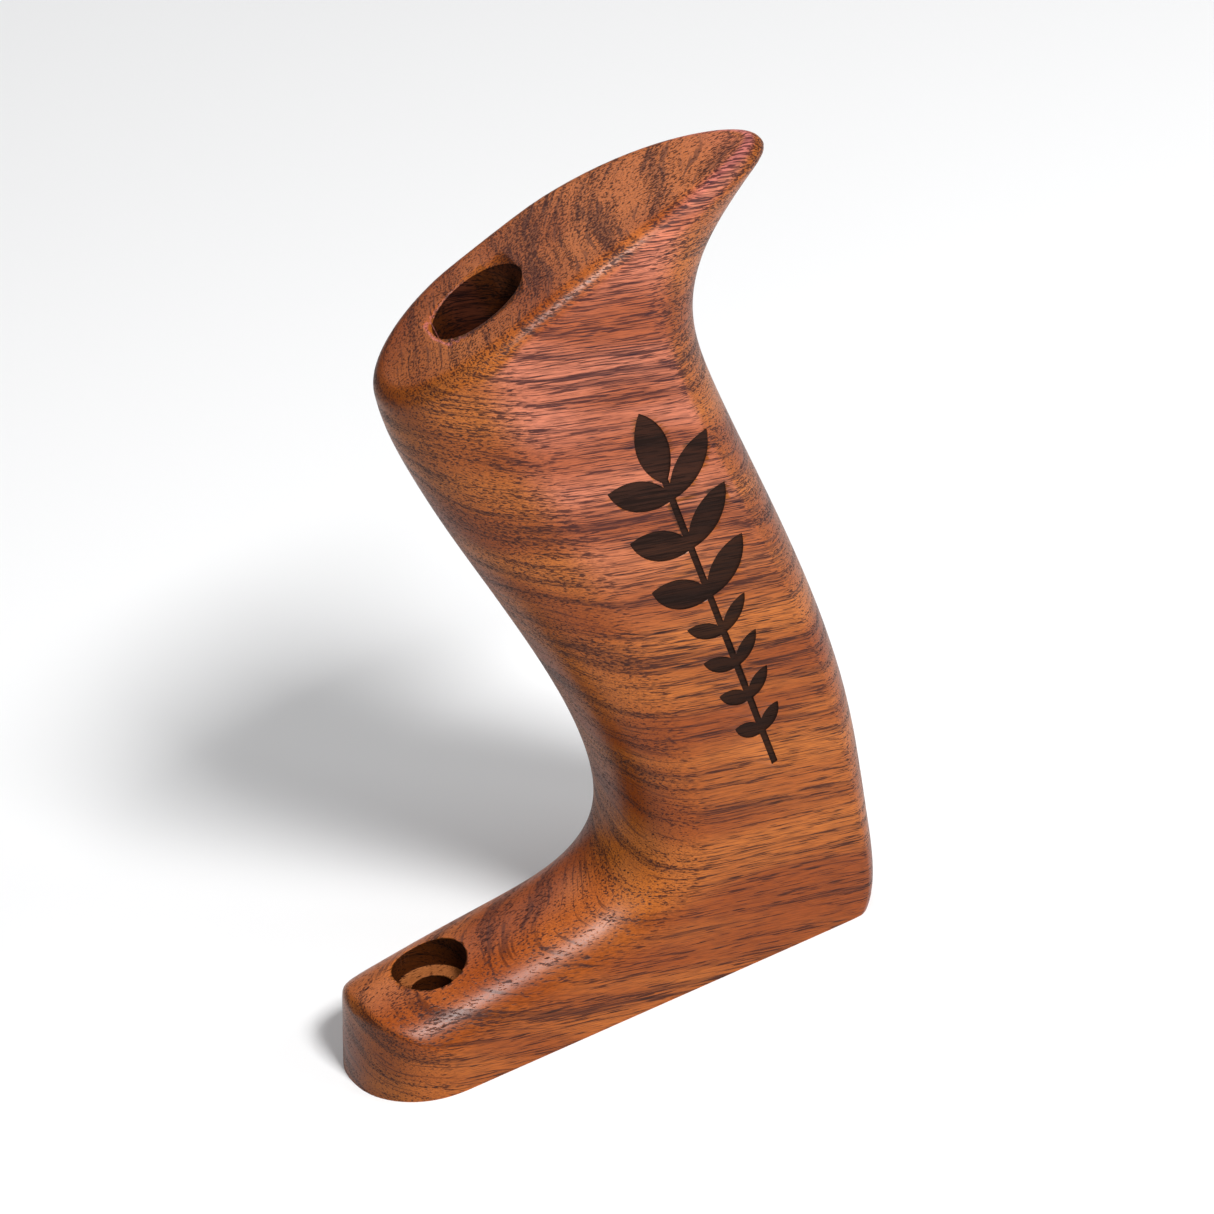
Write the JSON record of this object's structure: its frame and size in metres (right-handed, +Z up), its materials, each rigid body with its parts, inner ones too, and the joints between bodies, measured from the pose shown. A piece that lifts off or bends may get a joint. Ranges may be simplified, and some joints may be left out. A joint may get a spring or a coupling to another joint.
{
  "type": "plane rear handle",
  "caption": "Forward-leaning wooden rear handle of a bench plane, with a curved horn, a low toe, a slanted rod bore and a counterbored toe screw hole.",
  "frame": {"origin": "where the axis of the rod bore meets the flat sole, on the middle plane", "axes": "+Z up from the sole, -X towards the toe, +X towards the heel, -Y towards the engraved cheek"},
  "size_m": [0.0823, 0.023, 0.1185],
  "materials": {
    "wood": "reddish-brown bubinga, sanded smooth and oiled to a satin gloss",
    "dark_fill": "near-black matt wood filler in the engraving"
  },
  "bodies": {
    "root": {"handle": "wood", "sprig_fill": "dark_fill"}
  },
  "joints": []
}
